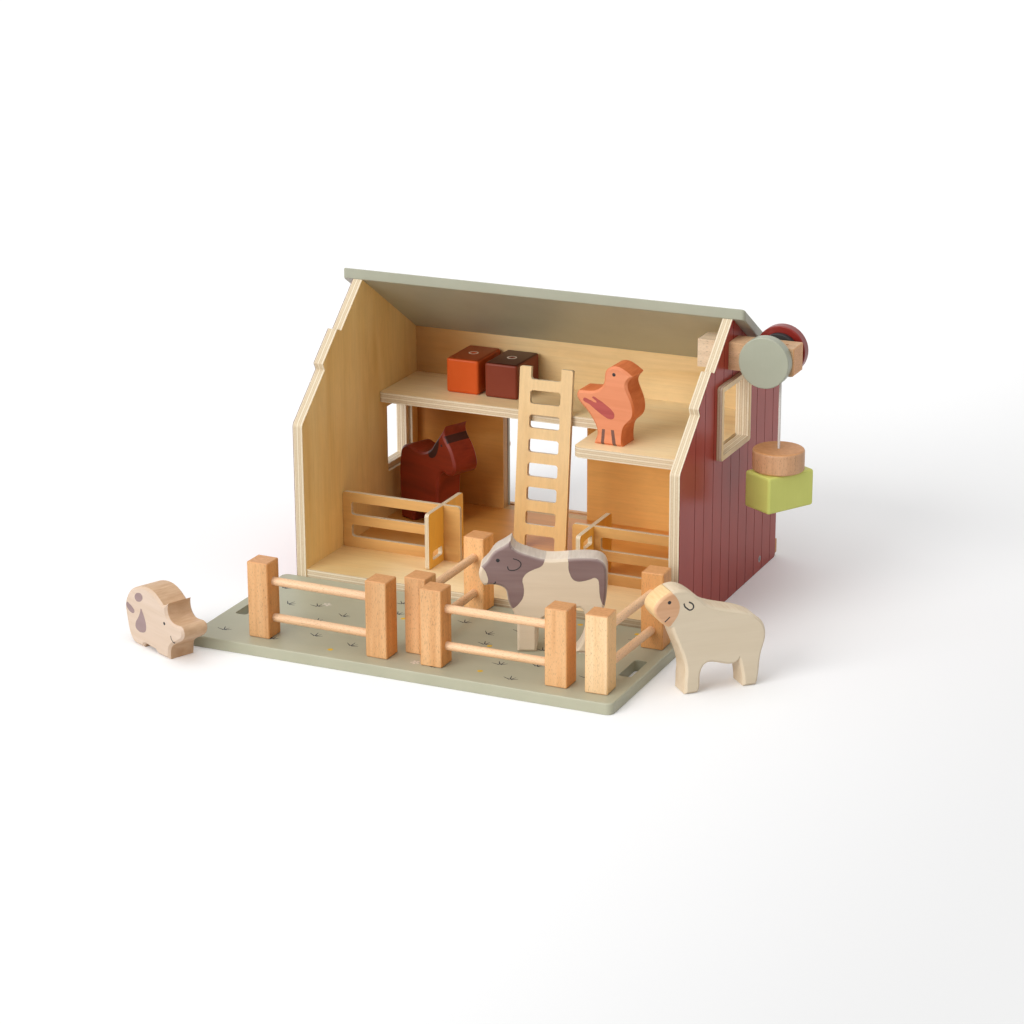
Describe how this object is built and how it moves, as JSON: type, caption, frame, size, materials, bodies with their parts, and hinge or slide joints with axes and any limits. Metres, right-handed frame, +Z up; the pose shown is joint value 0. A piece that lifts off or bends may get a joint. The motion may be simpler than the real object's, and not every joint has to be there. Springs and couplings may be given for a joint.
{
  "type": "toy barn playset",
  "caption": "Wooden toy barn with sliding rear doors, loft, ladder, winding hoist, stall dividers, fenced yard plate, bales and farm animals.",
  "frame": {"origin": "table level, on the barn's centre line, under the middle of the yard plate", "axes": "+X to the hoist side, +Y from the yard to the rear doors, +Z up"},
  "size_m": [0.5211, 0.462, 0.2599],
  "materials": {
    "birch_plywood": "clear satin varnish",
    "red_panel_plywood": "plywood, outer face in gloss dark red paint",
    "sage_painted_wood": "satin paint",
    "beech": "clear satin varnish",
    "red_painted_wood": "gloss paint",
    "orange_painted_wood": "satin paint",
    "brown_painted_wood": "satin paint",
    "lime_painted_wood": "satin paint",
    "pale_maple": "matt varnish with printed markings",
    "chestnut_stained_wood": "satin stain",
    "peach_stained_wood": "satin stain",
    "steel": "zinc plated",
    "magnet": "nickel plated",
    "cotton_string": "braided",
    "black_rubber": "matt"
  },
  "bodies": {
    "barn": {"floor_board": "birch_plywood", "left_wall": "red_panel_plywood", "right_wall": "red_panel_plywood", "back_wall": "red_panel_plywood", "roof_panel": "sage_painted_wood", "loft_shelf": "birch_plywood", "left_window_frame": "birch_plywood", "right_window_frame": "birch_plywood", "wall_screws": "steel", "door_rail_bottom": "beech", "door_rail_top": "beech", "hoist_beam": "beech"},
    "left_door": {"door_left": "sage_painted_wood", "door_knob_left": "beech"},
    "right_door": {"door_right": "sage_painted_wood", "door_knob_right": "beech"},
    "hoist_drum": {"hoist_axle": "beech", "hoist_wheel_green": "sage_painted_wood", "hoist_wheel_red": "red_painted_wood", "hoist_spacer": "black_rubber", "hoist_winding": "cotton_string"},
    "hoist_load": {"hoist_string": "cotton_string", "magnet_holder": "beech", "magnet": "magnet"},
    "green_bale": {"bale_green": "lime_painted_wood", "bale_green_disc": "steel"},
    "orange_bale": {"bale_orange": "orange_painted_wood", "bale_orange_disc": "steel"},
    "brown_bale": {"bale_brown": "brown_painted_wood", "bale_brown_disc": "steel"},
    "loose_ladder": {"ladder": "birch_plywood"},
    "left_stall": {"stall_left_long": "birch_plywood", "stall_left_cross": "birch_plywood"},
    "right_stall": {"stall_right_long": "birch_plywood", "stall_right_cross": "birch_plywood"},
    "yard": {"yard_plate": "sage_painted_wood"},
    "front_left_fence": {"fence_a_posts": "beech", "fence_a_rails": "beech"},
    "middle_fence": {"fence_b_posts": "beech", "fence_b_rails": "beech"},
    "front_right_fence": {"fence_c_posts": "beech", "fence_c_rails": "beech"},
    "right_fence": {"fence_d_posts": "beech", "fence_d_rails": "beech"},
    "cow_figure": {"cow": "pale_maple"},
    "pig_figure": {"pig": "pale_maple"},
    "sheep_figure": {"sheep": "pale_maple"},
    "horse_figure": {"horse": "chestnut_stained_wood"},
    "chicken_figure": {"chicken": "peach_stained_wood"}
  },
  "joints": [
    {"name": "left_door_slide", "type": "slide", "parent": "barn", "child": "left_door", "axis": [1, 0, 0], "range_m": [0, 0.0429]},
    {"name": "right_door_slide", "type": "slide", "parent": "barn", "child": "right_door", "axis": [-1, 0, 0], "range_m": [0, 0.0429]},
    {"name": "hoist_wheel_turn", "type": "hinge", "parent": "barn", "child": "hoist_drum", "pos_m": [0.2147, 0.2035, 0.2213], "axis": [0, 1, 0], "range_deg": [-410, 625]},
    {"name": "hoist_load_lift", "type": "slide", "parent": "barn", "child": "hoist_load", "axis": [0, 0, 1], "range_m": [-0.0845, 0.0556], "deforming": ["hoist_string"]},
    {"name": "green_bale_pull", "type": "slide", "parent": "hoist_load", "child": "green_bale", "axis": [0, 0, -1], "range_m": [0, 0.02]},
    {"name": "orange_bale_lift", "type": "slide", "parent": "barn", "child": "orange_bale", "axis": [0, 0, 1], "range_m": [0, 0.01]},
    {"name": "brown_bale_lift", "type": "slide", "parent": "barn", "child": "brown_bale", "axis": [0, 0, 1], "range_m": [0, 0.01]},
    {"name": "ladder_lift", "type": "slide", "parent": "barn", "child": "loose_ladder", "axis": [0, 0, 1], "range_m": [0, 0.044]},
    {"name": "left_stall_lift", "type": "slide", "parent": "barn", "child": "left_stall", "axis": [0, 0, 1], "range_m": [0, 0.055]},
    {"name": "right_stall_lift", "type": "slide", "parent": "barn", "child": "right_stall", "axis": [0, 0, 1], "range_m": [0, 0.055]},
    {"name": "yard_plate_lift", "type": "slide", "parent": "barn", "child": "yard", "axis": [0, 0, 1], "range_m": [0, 0.08]},
    {"name": "front_left_fence_lift", "type": "slide", "parent": "yard", "child": "front_left_fence", "axis": [0, 0, 1], "range_m": [0, 0.05]},
    {"name": "middle_fence_lift", "type": "slide", "parent": "yard", "child": "middle_fence", "axis": [0, 0, 1], "range_m": [0, 0.05]},
    {"name": "front_right_fence_lift", "type": "slide", "parent": "yard", "child": "front_right_fence", "axis": [0, 0, 1], "range_m": [0, 0.05]},
    {"name": "right_fence_lift", "type": "slide", "parent": "yard", "child": "right_fence", "axis": [0, 0, 1], "range_m": [0, 0.05]},
    {"name": "cow_lift", "type": "slide", "parent": "yard", "child": "cow_figure", "axis": [0, 0, 1], "range_m": [0, 0.06]},
    {"name": "pig_lift", "type": "slide", "parent": "barn", "child": "pig_figure", "axis": [0, 0, 1], "range_m": [0, 0.06]},
    {"name": "sheep_lift", "type": "slide", "parent": "barn", "child": "sheep_figure", "axis": [0, 0, 1], "range_m": [0, 0.06]},
    {"name": "horse_lift", "type": "slide", "parent": "barn", "child": "horse_figure", "axis": [0, 0, 1], "range_m": [0, 0.01]},
    {"name": "chicken_lift", "type": "slide", "parent": "barn", "child": "chicken_figure", "axis": [0, 0, 1], "range_m": [0, 0.05]}
  ],
  "couplings": [
    {"joint": "hoist_load_lift", "follows": "hoist_wheel_turn", "m_per_rad": -0.00765}
  ]
}
